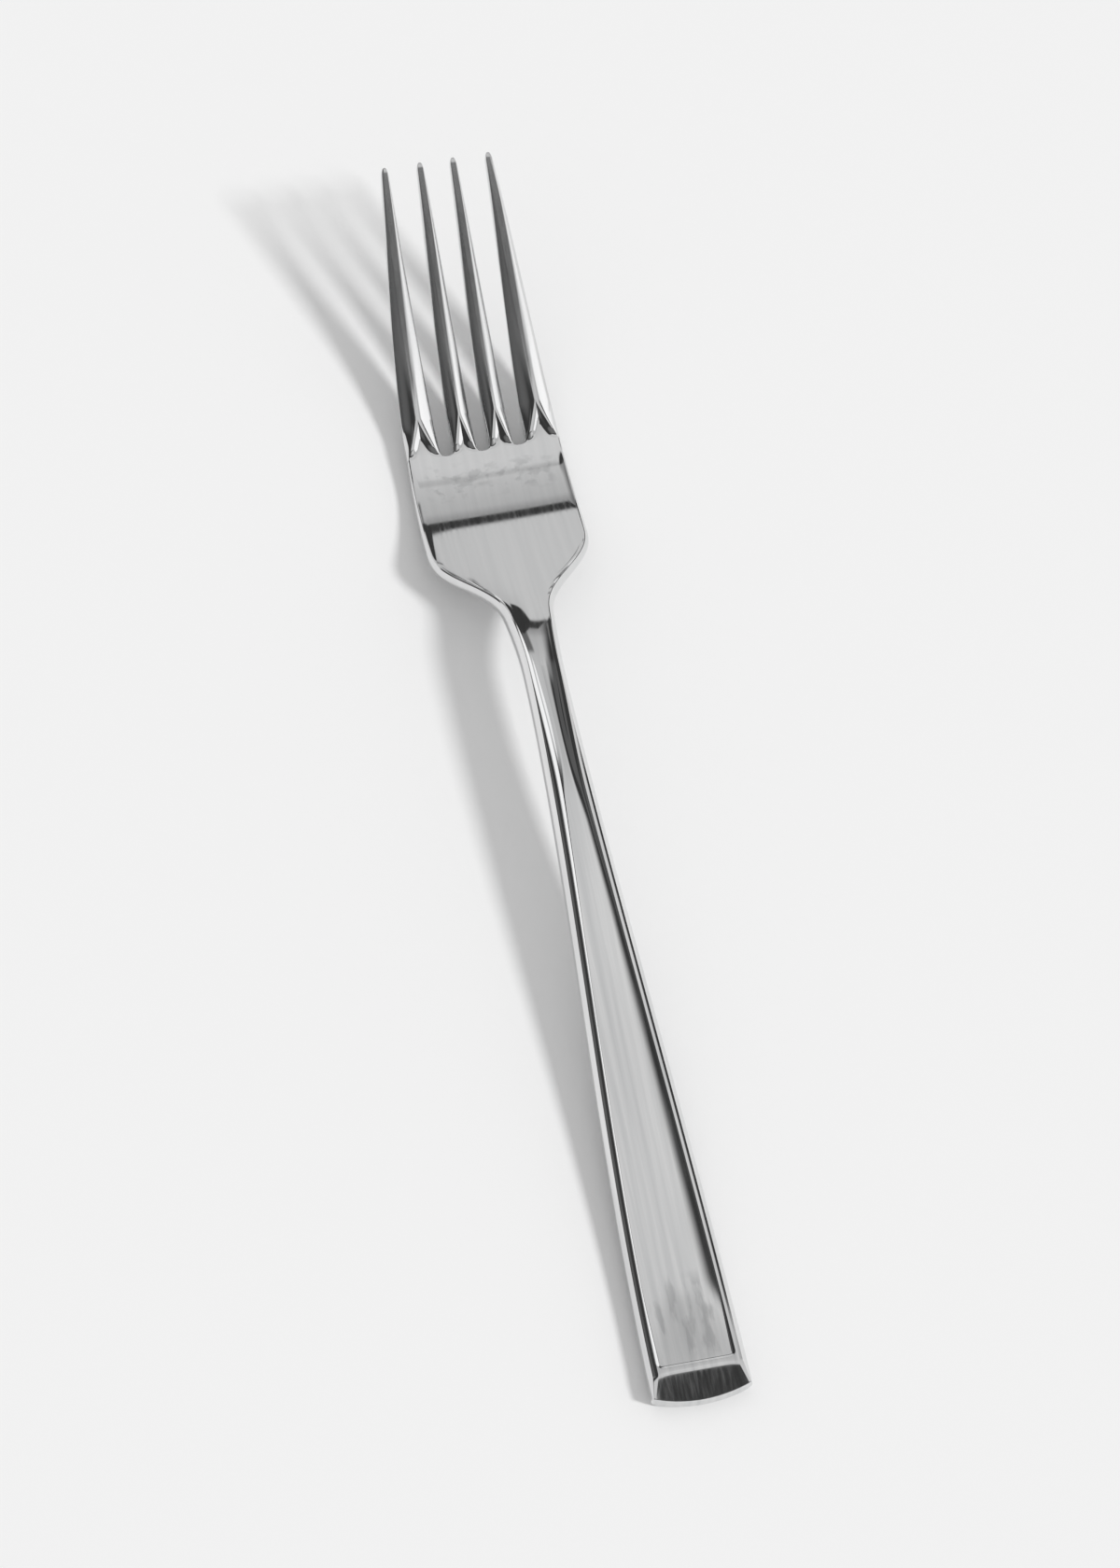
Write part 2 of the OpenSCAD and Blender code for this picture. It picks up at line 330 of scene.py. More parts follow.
def hollow(x, y):
    """Depth of the hollow across the panel, the neck and the palm."""
    depth = mix(PANEL_SLOPE * floor_half(y) / 2, NECK_DISH, eased(y, NECK_DISH_Y, NECK_DISH_RUN))
    depth = mix(depth, PALM_DISH, down_shoulder(y)) * head_fade(y) * eased(y, Y_PANEL, PANEL_SWEEP)
    s = np.clip(np.abs(x) / floor_half(y), 0, 1)
    return depth * (1 - s * s)


def facet_drop(x, y):
    """Drop of the end facet, whose edge bends towards the end at its corners."""
    return BEVEL_DROP * along_bevel(y + CORNER_ROUND * (np.abs(x) / half_w(y)) ** CORNER_POWER)


def top(x, y):
    q = down_wall(x, y)
    sunk = recess(y) * q * (1 + WALL_BOW * (1 - q))
    return base_z(y) + thick(y) - facet_drop(x, y) - rim_fall(x, y) - sunk - hollow(x, y)


def bottom(x, y):
    """Height of the underside before it is cut level with the table."""
    belly = mix(HANDLE_BELLY, PALM_BELLY, down_shoulder(y)) * head_fade(y)
    return base_z(y) - REST_CUT + belly * np.minimum(1, (x / foot_half(y)) ** 2)


# Sections of the handle, neck, shoulder and palm
def side_heights(y):
    """Heights of a side's foot, its upper edge and its widest place."""
    foot_z = bottom(foot_half(y), y)
    edge_z = top(rim_outer(y), y)
    return foot_z, edge_z, mix(edge_z, foot_z, SIDE_SHARE)


def body_half(Y):
    """x and z of the right half of sections; Y holds each point's own y, a row a section."""
    under_y, foot_y, side_y, rim_y, wall_y, floor_y = np.split(
        Y, np.cumsum([BOTTOM_N + 1, FOOT_N, SIDE_N, RIM_N, WALL_N]), axis=1)
    under_x = foot_half(under_y) * np.linspace(0, 1, BOTTOM_N + 1)
    under_z = bottom(under_x, under_y)

    foot_z, _, widest_z = side_heights(foot_y)
    foot_x = foot_half(foot_y) + FOOT_IN * np.sin(quarter(FOOT_N))
    foot_z = mix(widest_z, foot_z, np.cos(quarter(FOOT_N)))

    _, edge_z, widest_z = side_heights(side_y)
    turn = (1 - (1 - shares(SIDE_N)) ** SIDE_SPACING) * SIDE_ARC
    side_x = half_w(side_y) - side(side_y) * (1 - np.cos(turn)) / (1 - math.cos(SIDE_ARC))
    side_z = mix(widest_z, edge_z, np.sin(turn) / math.sin(SIDE_ARC))

    rim_x = rim_outer(rim_y) - rim(rim_y) * RIM_SHARES
    wall_x = rim_inner(wall_y) - wall(wall_y) * shares(WALL_N) ** WALL_SPACING
    floor_x = floor_half(floor_y) * np.linspace(1, 0, FLOOR_N + 1)[1:]
    top_x = np.concatenate([rim_x, wall_x, floor_x], 1)
    top_z = top(top_x, np.concatenate([rim_y, wall_y, floor_y], 1))
    return (np.concatenate([under_x, foot_x, side_x, top_x], 1),
            np.concatenate([under_z, foot_z, side_z, top_z], 1))


def end_arc(x):
    """The round end face, seen from above."""
    return Y_END + END_R - np.sqrt(END_R ** 2 - x ** 2)


def body_rings(y):
    """Rings of points at stations y; those on the end facet bend to the round end face."""
    Y = np.repeat(y[:, None], HALF_N, 1)
    X, Z = body_half(Y)
    for _ in range(BEND_ROUNDS):
        on_facet = np.clip((Y_BEVEL - Y) / BEVEL_LEN, 0, 1)
        bent = Y + (end_arc(X) - Y_END) * on_facet
        X, Z = body_half(bent)
    right = np.stack([X, bent, np.maximum(Z, 0)], -1)
    left = right[:, -2:0:-1] * [-1, 1, 1]
    return np.concatenate([right, left], 1)


def roll_in(ring, depth):
    """A ring drawn in by depth within its own section."""
    along = (np.roll(ring, -1, 0) - np.roll(ring, 1, 0))[:, [0, 2]]
    inward = unit(np.stack([-along[:, 1], along[:, 0]], -1))
    out = ring.copy()
    out[:, [0, 2]] += inward * depth
    return out


# Sections of the tines
def slot_fillet(y):
    """How far the round bottom of a slot reaches in from the slot's side."""
    r = SLOT_W / 2
    q = np.clip(y - Y_ROOT, 0, r)
    return r - np.sqrt(np.maximum(r * r - (r - q) ** 2, 0))


def from_root(y):
    return np.maximum((y - Y_ROOT) / TINE_LEN, 0)


def tip_scale(y):
    return np.sqrt(np.maximum(1 - (1 - np.clip((Y_TIP - y) / TIP_ROUND, 0, 1)) ** 2, 0))


def inner_edges(y):
    """Middle and half width of an inner tine."""
    t = from_root(y)
    middle = mix(SLOT_PITCH / 2, INNER_TIP_X, t)
    half = mix((SLOT_PITCH - SLOT_W) / 2, TINE_TIP_W / 2, t ** TINE_TAPER) + slot_fillet(y)
    return middle, half * tip_scale(y)


def outer_edges(y):
    """Middle and half width of an outer tine."""
    near = mix(SLOT_PITCH + SLOT_W / 2, TIP_SPAN / 2 - TINE_TIP_W, from_root(y)) - slot_fillet(y)
    return (near + half_w(y)) / 2, (half_w(y) - near) / 2 * tip_scale(y)


def crown_grown(y):
    """How far the crown has closed in over the tongue of the palm that runs up each tine."""
    return 1 - (1 - np.clip((y - Y_ROOT) / CROWN_LEN, 0, 1)) ** CROWN_BOW


def crown_fall(q, roof):
    """Share of the crown's fall at share q of its width: a soft-ridged roof that rolls into the side."""
    e = RIDGE_ROUND
    slope = (np.sqrt(q * q + e * e) - e) / (math.sqrt(1 + e * e) - e)
    return roof * slope + (1 - roof) * (1 - np.sqrt(np.maximum(1 - q * q, 0)))


def tine_side(y, middle, reach, out, root_top, root_foot):
    """x and z round one side of a tine, a row a station; out is 1 on its right and -1 on its left.

    root_top and root_foot are the rounded edges at the root: width, and share of the thickness.
    """
    y, middle, reach = y[:, None], middle[:, None], reach[:, None]
    grown = crown_grown(y)
    to_tip = np.clip((y - Y_ROOT - CROWN_LEN) / (Y_TIP - Y_ROOT - CROWN_LEN), 0, 1)
    edge = middle + out * reach
    edge_t = top(edge, y) - bottom(edge, y)
    thin = (1 - tip_scale(y)) * (top(middle, y) - bottom(middle, y)) * TIP_THINNING

    crown = reach * mix(CROWN_SHARE, TIP_CROWN_SHARE, to_tip ** CROWN_TAPER)
    foot_in = np.minimum(mix(root_foot[0], TINE_FOOT_IN, grown), crown)
    foot_rise = edge_t * mix(root_foot[1], TINE_FOOT_SHARE, grown)
    turn = quarter(TINE_FOOT_N)
    under_x = middle + out * (reach - foot_in) * np.linspace(0, 1, TINE_BOTTOM_N + 1)
    under_z = bottom(under_x, y) + thin
    foot_x = edge - out * foot_in * (1 - np.sin(turn))
    foot_z = bottom(foot_x, y) + foot_rise * (1 - np.cos(turn)) + thin

    top_in = np.minimum(mix(root_top[0], crown, grown), crown)
    top_drop = edge_t * mix(root_top[1], TINE_SIDE_SHARE, grown)
    roof = ROOF_SHARE * grown * (1 - to_tip ** ROOF_FADE)
    lift = TONGUE_DEPTH * ease(grown * TONGUE_PACE) * (1 - ease(to_tip * TONGUE_PACE))
    q = np.cos(np.concatenate([[0.0], quarter(TINE_CROWN_N)]))
    crown_x = edge - out * top_in * (1 - q)
    crown_z = top(crown_x, y) + lift - (top_drop + lift) * crown_fall(q, roof) - thin

    flat = reach - top_in
    wall_in = np.minimum(TONGUE_WALL, flat)
    w = shares(TINE_WALL_N)
    wall_x = middle + out * (flat - wall_in * w)
    wall_z = top(wall_x, y) + lift * (1 - ease(w * wall_in / TONGUE_WALL)) - thin
    tongue_x = middle + out * (flat - wall_in) * np.linspace(1, 0, TINE_TONGUE_N + 1)[1:]
    tongue_z = top(tongue_x, y) + lift * (1 - ease(wall_in / TONGUE_WALL)) - thin
    return (np.concatenate([under_x, foot_x, crown_x, wall_x, tongue_x], 1),
            np.concatenate([under_z, foot_z, crown_z, wall_z, tongue_z], 1))


SLOT_SIDE = (SLOT_EDGE, SLOT_EDGE_SHARE)


def tine_rings(y, edges, far_top, far_foot, mirrored):
    """Rings of points of a tine right of the middle, or of its mirror image."""
    middle, reach = edges(y)
    right_x, right_z = tine_side(y, middle, reach, 1, far_top, far_foot)
    left_x, left_z = tine_side(y, middle, reach, -1, SLOT_SIDE, SLOT_SIDE)
    if mirrored:
        right_x, right_z, left_x, left_z = -left_x, left_z, -right_x, right_z
    X = np.concatenate([right_x, left_x[:, -2:0:-1]], 1)
    Z = np.concatenate([right_z, left_z[:, -2:0:-1]], 1)
    return np.stack([X, np.broadcast_to(y[:, None], X.shape), np.maximum(Z, 0)], -1)


# Meshes
def ring_normals(rings, ahead, behind):
    """Unit normals from the change along the fork and round each ring."""
    around = np.roll(rings, -1, 1) - np.roll(rings, 1, 1)
    return unit(np.cross(ahead - behind, around))


def welded(rings):
    """The points without a ring's repeats, and each old point's number among them."""
    fresh = np.ones(rings.shape[:2], bool)
    fresh[:, 1:] = np.linalg.norm(np.diff(rings, axis=1), axis=-1) > WELD
    return rings[fresh], np.cumsum(fresh.reshape(-1)) - 1


def cap_faces(m, facing):
    """Faces across a ring of m points that starts in the middle of its underside, facing -y or +y."""
    half = m // 2
    faces = []
    for turn in (-1, 1):
        for i in range(half // 2):
            near, far = turn * i, turn * (i + 1)
            quad = [near % m, far % m, half - far, half - near]
            faces.append(quad[::-1] if turn == facing else quad)
    return faces


def closed_piece(name, rings, normals, start_normals=None):
    """A closed mesh over rings of points, with a strip of faces across each end."""
    n, m, _ = rings.shape
    points, number = welded(rings)
    flat = normals.reshape(-1, 3)
    faces, corner_normals = [], []

    def add_face(corners, its_normals):
        ids = [int(number[v]) for v in corners]
        kept = [i for i in range(len(ids)) if ids[i] != ids[i - 1]]
        if len(kept) > 2:
            faces.append([ids[i] for i in kept])
            corner_normals.extend(its_normals[i] for i in kept)

    for i in range(n - 1):
        for j in range(m):
            k = (j + 1) % m
            corners = [i * m + j, (i + 1) * m + j, (i + 1) * m + k, i * m + k]
            add_face(corners, flat[corners])
    if start_normals is None:
        start_normals = [(0.0, -1.0, 0.0)] * m
    for row, facing, end_normals in ((0, -1, start_normals), (n - 1, 1, [(0.0, 1.0, 0.0)] * m)):
        for face in cap_faces(m, facing):
            add_face([row * m + v for v in face], [end_normals[v] for v in face])

    mesh = bpy.data.meshes.new(name)
    mesh.from_pydata((points * MM).tolist(), [], faces)
    mesh.polygons.foreach_set("use_smooth", [True] * len(mesh.polygons))
    mesh.normals_split_custom_set([tuple(map(float, v)) for v in corner_normals])
    mesh.update()
    piece = bpy.data.objects.new(name, mesh)
    bpy.context.collection.objects.link(piece)
    return piece


def spans(*runs):
    """Stations along the fork; each run has a start, an end and a number of steps."""
    return np.unique(np.concatenate([np.linspace(start, end, n + 1) for start, end, n in runs]))


def body_normals(y, rings):
    return ring_normals(rings, body_rings(y + BODY_PROBE), body_rings(y - BODY_PROBE))


def body_piece(name, y):
    rings = body_rings(y)
    return closed_piece(name, rings, body_normals(y, rings))


def end_face_normals(ring):
    x = ring[:, 0] / END_R
    return np.stack([x, -np.sqrt(1 - x * x), np.zeros_like(x)], -1)


def end_piece(name, y):
    """The handle's end: its last rings roll over into the round end face."""
    rings = body_rings(y)
    normals = body_normals(y, rings)
    face = end_face_normals(rings[0])
    rolled, rolled_normals = [], []
    for k in range(ROLL_STEPS, 0, -1):
        a = k / ROLL_STEPS * math.pi / 2
        ring = roll_in(rings[0], END_ROLL * (1 - math.cos(a)))
        ring[:, 1] = rings[0][:, 1] + END_ROLL * (1 - math.sin(a))
        ring[:, 2] = np.maximum(ring[:, 2], 0)
        rolled.append(ring)
        rolled_normals.append(unit(normals[0] * math.cos(a) + face * math.sin(a)))
    first = rings[:1] + [0, END_ROLL, 0]
    keep = y > y[0] + END_ROLL
    rings = np.concatenate([rolled, first, rings[keep]])
    normals = np.concatenate([rolled_normals, normals[:1], normals[keep]])
    return closed_piece(name, rings, normals, end_face_normals(rings[0]))


def tine_piece(name, edges, far_top, far_foot, mirrored):
    def rings_at(y):
        return tine_rings(y, edges, far_top, far_foot, mirrored)

    r = SLOT_W / 2
    y = np.unique(np.concatenate([
        Y_ROOT + r * (1 - np.cos(np.linspace(0, math.pi / 2, SLOT_END_N))),
        np.arange(Y_ROOT + r, Y_TIP - TIP_ROUND, TINE_STEP),
        Y_TIP - TIP_ROUND * (1 - np.sin(np.linspace(0, TIP_END, TIP_N)))]))
    rings = rings_at(y)
    ahead = rings_at(np.minimum(y + TINE_PROBE, Y_TIP - TIP_GAP))
    behind = rings_at(np.maximum(y - TINE_PROBE, Y_ROOT))
    return closed_piece(name, rings, ring_normals(rings, ahead, behind))


# Shader nodes
# Sockets of a Mix node for each kind of value: its two sides and its result
MIX_SOCKETS = {"FLOAT": (2, 3, 0), "RGBA": (6, 7, 2)}


def put(tree, value, socket):
    """Links another node's output to a socket, or sets the socket to a constant."""
    if isinstance(value, bpy.types.NodeSocket):
        tree.links.new(value, socket)
    else:
        socket.default_value = value


def calc(tree, operation, a, b):
    node = tree.nodes.new("ShaderNodeMath")
    node.operation = operation
    put(tree, a, node.inputs[0])
    put(tree, b, node.inputs[1])
    return node.outputs[0]


def remap(tree, value, low, high, to_low=0.0, to_high=1.0, curve="LINEAR"):
    node = tree.nodes.new("ShaderNodeMapRange")
    node.interpolation_type = curve
    for socket, v in (("From Min", low), ("From Max", high), ("To Min", to_low), ("To Max", to_high)):
        node.inputs[socket].default_value = v
    tree.links.new(value, node.inputs["Value"])
    return node.outputs["Result"]


def mixed(tree, kind, factor, a, b):
    node = tree.nodes.new("ShaderNodeMix")
    node.data_type = kind
    first, second, result = MIX_SOCKETS[kind]
    put(tree, factor, node.inputs[0])
    put(tree, a, node.inputs[first])
    put(tree, b, node.inputs[second])
    return node.outputs[result]


def noise(tree, coords, pattern, name):
    scale, detail = pattern
    mapping = tree.nodes.new("ShaderNodeMapping")
    mapping.inputs["Scale"].default_value = scale
    tree.links.new(coords, mapping.inputs["Vector"])
    node = tree.nodes.new("ShaderNodeTexNoise")
    node.name = name
    node.inputs["Scale"].default_value = 1.0
    node.inputs["Detail"].default_value = detail
    tree.links.new(mapping.outputs["Vector"], node.inputs["Vector"])
    return node.outputs["Fac"]


# Polished steel: fine lengthwise polishing lines over slow, faint waves, with painted reflections in its
# colour. Places are in metres.
# Noise patterns: scale across, along and up, and detail
LINES = ((2600.0, 55.0, 900.0), 3.0)
FINE_LINES = ((9000.0, 160.0, 5000.0), 2.0)
WAVES = ((260.0, 110.0, 260.0), 1.0)
STREAKS = ((900.0, 24.0, 40.0), 4.0)
NOISE_LOW, NOISE_HIGH = 0.3, 0.7  # part of a noise's range that is used
WAVE_HEIGHT, LINE_HEIGHT = 3.5e-7, 4.0e-8
LINE_ROUGH_LOW, LINE_ROUGH_HIGH = 0.035, 0.10
DULL_STREAK, BRIGHT_STREAK = (0.665, 0.670, 0.675, 1), (0.835, 0.835, 0.835, 1)
# The streaks fade on the head: share that goes, the run where it does, and the even value left
CALM, CALM_FROM, CALM_TO, CALM_VALUE = 0.65, 0.010, 0.026, 0.5
# The tines are a little less bright: added roughness, and the run where it grows
SATIN, SATIN_FROM, SATIN_TO = 0.16, 0.056, 0.066
# Faint dark marks in the steel's colour that stand in for dim reflections of the room; they stay under any
# light
# Painted reflections on the palm and at the panel's end: pattern, start, end, reach to each side, fade,
# depth
PAINTED_REFLECTIONS = {
    "palm_painted_reflections": (((560.0, 760.0, 100.0), 3.0), 0.0470, 0.0500, 0.0080, 0.0016, 0.30),
    "end_painted_reflections": (((760.0, 190.0, 100.0), 3.0), -0.0830, -0.0742, 0.0032, 0.0020, 0.40),
}
PAINTED_REFLECTION_TINT = (0.34, 0.345, 0.35, 1)
PAINTED_REFLECTION_LOW, PAINTED_REFLECTION_HIGH = 0.50, 0.62  # part of the noise's range over which they begin
PAINTED_REFLECTION_FROM, PAINTED_REFLECTION_TO = 0.0012, 0.0018  # heights over which they begin, so that the underside has none


def streaked_colour(tree, coords, along):
    streaks = remap(tree, noise(tree, coords, STREAKS, "streaks"), NOISE_LOW, NOISE_HIGH)
    calm = remap(tree, along, CALM_FROM, CALM_TO, 0.0, CALM)
    return mixed(tree, "RGBA", mixed(tree, "FLOAT", calm, streaks, CALM_VALUE), DULL_STREAK, BRIGHT_STREAK)


# Painted reflections: darkens the steel's colour in patches on the palm and at the panel's end, where dim
# parts of the room are mirrored
def with_painted_reflections(tree, coords, place, colour):
    for name, (pattern, start, end, reach, fade, depth) in PAINTED_REFLECTIONS.items():
        reflection_marks = remap(tree, noise(tree, coords, pattern, name), PAINTED_REFLECTION_LOW, PAINTED_REFLECTION_HIGH, 0.0, depth)
        for edge in (remap(tree, place["Y"], start - fade, start),
                     remap(tree, place["Y"], end, end + fade, 1.0, 0.0),
                     remap(tree, place["X"], reach, reach + fade, 1.0, 0.0),
                     remap(tree, place["X"], -reach - fade, -reach),
                     remap(tree, place["Z"], PAINTED_REFLECTION_FROM, PAINTED_REFLECTION_TO)):
            reflection_marks = calc(tree, "MULTIPLY", reflection_marks, edge)
        colour = mixed(tree, "RGBA", reflection_marks, colour, PAINTED_REFLECTION_TINT)
    return colour


def bumped(tree, heights):
    """The normal under several bumps, one over the other."""
    normal = None
    for height, distance in heights:
        bump = tree.nodes.new("ShaderNodeBump")
        bump.inputs["Strength"].default_value = 1.0
        bump.inputs["Distance"].default_value = distance
        tree.links.new(height, bump.inputs["Height"])
        if normal is not None:
            tree.links.new(normal, bump.inputs["Normal"])
        normal = bump.outputs["Normal"]
    return normal


def steel_material():
    mat = bpy.data.materials.new("polished_steel")
    mat.use_nodes = True
    tree = mat.node_tree
    bsdf = tree.nodes["Principled BSDF"]
    bsdf.inputs["Metallic"].default_value = 1.0
    coords = tree.nodes.new("ShaderNodeTexCoord").outputs["Object"]
    split = tree.nodes.new("ShaderNodeSeparateXYZ")
    tree.links.new(coords, split.inputs[0])
    place = split.outputs

    # Streaked colour, with painted reflections on the palm and at the panel's end
    colour = with_painted_reflections(tree, coords, place, streaked_colour(tree, coords, place["Y"]))
    tree.links.new(colour, bsdf.inputs["Base Color"])

    lines = noise(tree, coords, LINES, "polishing_lines")
    rough = remap(tree, lines, NOISE_LOW, NOISE_HIGH, LINE_ROUGH_LOW, LINE_ROUGH_HIGH)
    satin = remap(tree, place["Y"], SATIN_FROM, SATIN_TO, 0.0, SATIN)
    tree.links.new(calc(tree, "ADD", rough, satin), bsdf.inputs["Roughness"])

    waves = noise(tree, coords, WAVES, "waves")
    fine = noise(tree, coords, FINE_LINES, "fine_lines")
    normal = bumped(tree, ((waves, WAVE_HEIGHT), (lines, LINE_HEIGHT), (fine, LINE_HEIGHT)))
    tree.links.new(normal, bsdf.inputs["Normal"])
    return mat


# The fork's pieces
BODY_RUNS = {
    "handle": (Y_CUT, Y_NECK, HANDLE_N),
    "neck": (Y_NECK, Y_NARROW, NECK_N),
    "shoulder": (Y_NARROW, Y_WIDE, HEAD_N),
    "palm": (Y_WIDE, Y_ROOT, HEAD_N),
}
TINES = {
    "inner": (inner_edges, SLOT_SIDE, SLOT_SIDE),
    "outer": (outer_edges, (HEAD_SIDE, SIDE_SHARE), (FOOT_IN, FOOT_SHARE)),
}
made = {"handle_end": end_piece("steel_handle_end", spans(
    (Y_END, FACET_EDGE_FROM, FACET_N), (FACET_EDGE_FROM, FACET_EDGE_TO, FACET_EDGE_N),
    (FACET_EDGE_TO, Y_CUT, PANEL_END_N)))}
for node, run in BODY_RUNS.items():
    made[node] = body_piece(f"steel_{node}", spans(run))
for hand, mirrored in (("left", True), ("right", False)):
    for place, form in TINES.items():
        made[f"{place}_{hand}_tine"] = tine_piece(f"steel_{place}_{hand}_tine", *form, mirrored)
steel = steel_material()
for node, piece in made.items():
    piece.data.materials.append(steel)
    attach(piece, "root")
    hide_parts(node)

# Table, which lies just below the fork's rest faces
FLOOR_TONE, FLOOR_ROUGHNESS = 0.88, 0.9
FLOOR_SIZE, FLOOR_DROP = 8.0, 2e-5


def table():
    h = FLOOR_SIZE / 2
    mesh = bpy.data.meshes.new("table")
    corners = [(x, y, -FLOOR_DROP) for x, y in ((-h, -h), (h, -h), (h, h), (-h, h))]
    mesh.from_pydata(corners, [], [(0, 1, 2, 3)])
    mat = bpy.data.materials.new("pale_table")
    mat.use_nodes = True
    bsdf = mat.node_tree.nodes["Principled BSDF"]
    bsdf.inputs["Base Color"].default_value = (FLOOR_TONE, FLOOR_TONE, FLOOR_TONE, 1)
    bsdf.inputs["Roughness"].default_value = FLOOR_ROUGHNESS
    bsdf.inputs["Specular IOR Level"].default_value = 0.0
    mesh.materials.append(mat)
    obj = bpy.data.objects.new("table", mesh)
    bpy.context.collection.objects.link(obj)
    return obj


floor = table()

# Key light from the right, a little towards the camera, and an even sky; the steel mirrors neither
KEY_AZIMUTH, KEY_ELEVATION, KEY_ANGLE = map(math.radians, (-29.5, 43, 10))
KEY_SHARE, AMBIENT = 0.385, 0.62  # shares of the table's light that come from each


def key_light():
    data = bpy.data.lights.new("key", "SUN")
    data.angle = KEY_ANGLE
    data.energy = KEY_SHARE * math.pi / math.sin(KEY_ELEVATION)
    key = bpy.data.objects.new("key", data)
    to_key = Vector((math.cos(KEY_ELEVATION) * math.cos(KEY_AZIMUTH),
                     math.cos(KEY_ELEVATION) * math.sin(KEY_AZIMUTH), math.sin(KEY_ELEVATION)))
    key.rotation_mode = "QUATERNION"
    key.rotation_quaternion = to_key.to_track_quat("Z", "Y")
    key.visible_glossy = False
    bpy.context.collection.objects.link(key)


key_light()

# Studio that the steel mirrors, by direction: dx to the fork's right, dy to its tips and dz up
world = bpy.data.worlds.new("studio")
bpy.context.scene.world = world
world.use_nodes = True
studio = world.node_tree
studio.nodes.clear()
directions = studio.nodes.new("ShaderNodeSeparateXYZ")
studio.links.new(studio.nodes.new("ShaderNodeTexCoord").outputs["Generated"], directions.inputs[0])
dx, dy, dz = directions.outputs


def chain(operation, values):
    result = values[0]
    for value in values[1:]:
        result = calc(studio, operation, result, value)
    return result


def product(*values):
    return chain("MULTIPLY", values)


def total(*values):
    return chain("ADD", values)


def brightest(*values):
    return chain("MAXIMUM", values)


def less(a, b):
    return calc(studio, "SUBTRACT", a, b)


def past(value, start):
    return brightest(less(value, start), 0.0)


# An edge is a pair: where it lies, and how far it is soft to either side
def step_up(value, edge):
    at, soft = edge
    return remap(studio, value, at - soft, at + soft, curve="SMOOTHSTEP")


def step_down(value, edge):
    return less(1.0, step_up(value, edge))


def level(value, low, high, edge):
    """A tone that goes from low to high across an edge."""
    return total(low, product(step_up(value, edge), high - low))


def box(tone, left=None, right=None, near=None, far=None, low=None, high=None):
    """A tone within the edges that are given."""
    steps = ((step_up, dx, left), (step_down, dx, right), (step_up, dy, near), (step_down, dy, far),
             (step_up, dz, low), (step_down, dz, high))
    return product(tone, *[step(value, edge) for step, value, edge in steps if edge])


# Overhead panel: its tone and the fall of that along the fork, and how its two ends are dimmer
OVER_TONE, OVER_FALL = 1.02, 0.47
NEAR_DIM, NEAR_DIM_EDGE = 0.82, (0.10, 0.08)
FAR_DIM, FAR_DIM_EDGE = 0.72, (0.740, 0.035)
# Dim shapes in it: middle, half size and depth
PATCHES = [
    (0.240, 0.395, 0.080, 0.022, 0.12),
    (0.150, 0.475, 0.012, 0.012, 0.30),
    (0.180, 0.345, 0.160, 0.045, 0.18),
]
PATCH_SOFT_X, PATCH_SOFT_Y = 0.006, 0.035
# Its left edge in four bands along the fork, the third of them in two equal steps
BAND_1, BAND_2, BAND_3 = (0.34, 0.03), (0.388, 0.014), (0.47, 0.10)
LEFT_1, LEFT_2, LEFT_4 = (-0.065, 0.045), (-0.03, 0.11), (-0.22, 0.20)
LEFT_3_OUTER, LEFT_3_INNER = (-0.33, 0.12), (-0.04, 0.07)
# Its right edge, which lies farther out past a place along the fork
RIGHT_NEAR, RIGHT_FAR, RIGHT_TURN = (0.475, 0.015), (0.66, 0.02), (0.31, 0.03)
# Its ends; the far one leans in on the right, from a start, and out on the left
NEAR_END, FAR_END = (-0.22, 0.03), (0.779, 0.006)
FAR_LEAN_START, FAR_LEAN_RIGHT, FAR_LEAN_LEFT = 0.30, 0.2, -0.15
# Its darker far right corner
CORNER_DIM, CORNER_LEFT, CORNER_NEAR = 0.7, (0.45, 0.05), (0.585, 0.030)


def overhead():
    """The large soft panel whose edges draw the dark lines along the fork."""
    tone = product(less(OVER_TONE, product(dy, OVER_FALL)), level(dy, NEAR_DIM, 1.0, NEAR_DIM_EDGE),
                   level(dy, 1.0, FAR_DIM, FAR_DIM_EDGE))
    for x, y, half_x, half_y, depth in PATCHES:
        patch = box(depth, left=(x - half_x, PATCH_SOFT_X), right=(x + half_x, PATCH_SOFT_X),
                    near=(y - half_y, PATCH_SOFT_Y), far=(y + half_y, PATCH_SOFT_Y))
        tone = product(tone, less(1.0, patch))
    two_steps = product(total(step_up(dx, LEFT_3_OUTER), step_up(dx, LEFT_3_INNER)), 0.5)
    left_edge = total(box(step_up(dx, LEFT_1), far=BAND_1),
                      box(step_up(dx, LEFT_2), near=BAND_1, far=BAND_2),
                      box(two_steps, near=BAND_2, far=BAND_3),
                      box(step_up(dx, LEFT_4), near=BAND_3))
    right_edge = brightest(step_down(dx, RIGHT_NEAR), box(1.0, right=RIGHT_FAR, near=RIGHT_TURN))
    far_end = total(dy, product(past(dx, FAR_LEAN_START), FAR_LEAN_RIGHT),
                    product(past(less(0.0, dx), 0.0), FAR_LEAN_LEFT))
    corner = less(1.0, box(CORNER_DIM, left=CORNER_LEFT, near=CORNER_NEAR))
    return product(tone, corner, left_edge, right_edge, step_up(dy, NEAR_END), step_down(far_end, FAR_END))


# Panel behind the tips: its near edge, and how that leans out on the right, from a start
BEHIND_EDGE, BEHIND_LEAN_START, BEHIND_LEAN = (0.825, 0.010), 0.20, 0.4


def behind():
    edge = less(dy, product(past(dx, BEHIND_LEAN_START), BEHIND_LEAN))
    return product(step_up(edge, BEHIND_EDGE), level(dx, low=0.85, high=0.75, edge=(0.25, 0.12)))


def camera_side():
    """Dim wall behind the camera, brighter to the right."""
    left = product(level(dx, low=0.10, high=0.22, edge=(-0.70, 0.25)),
                   level(dy, low=0.45, high=1.0, edge=(-0.45, 0.04)))
    right = total(level(dx, low=0.0, high=0.80, edge=(0.30, 0.17)),
                  level(dx, low=0.0, high=0.45, edge=(0.70, 0.20)))
    return box(total(left, right), far=(-0.295, 0.02))


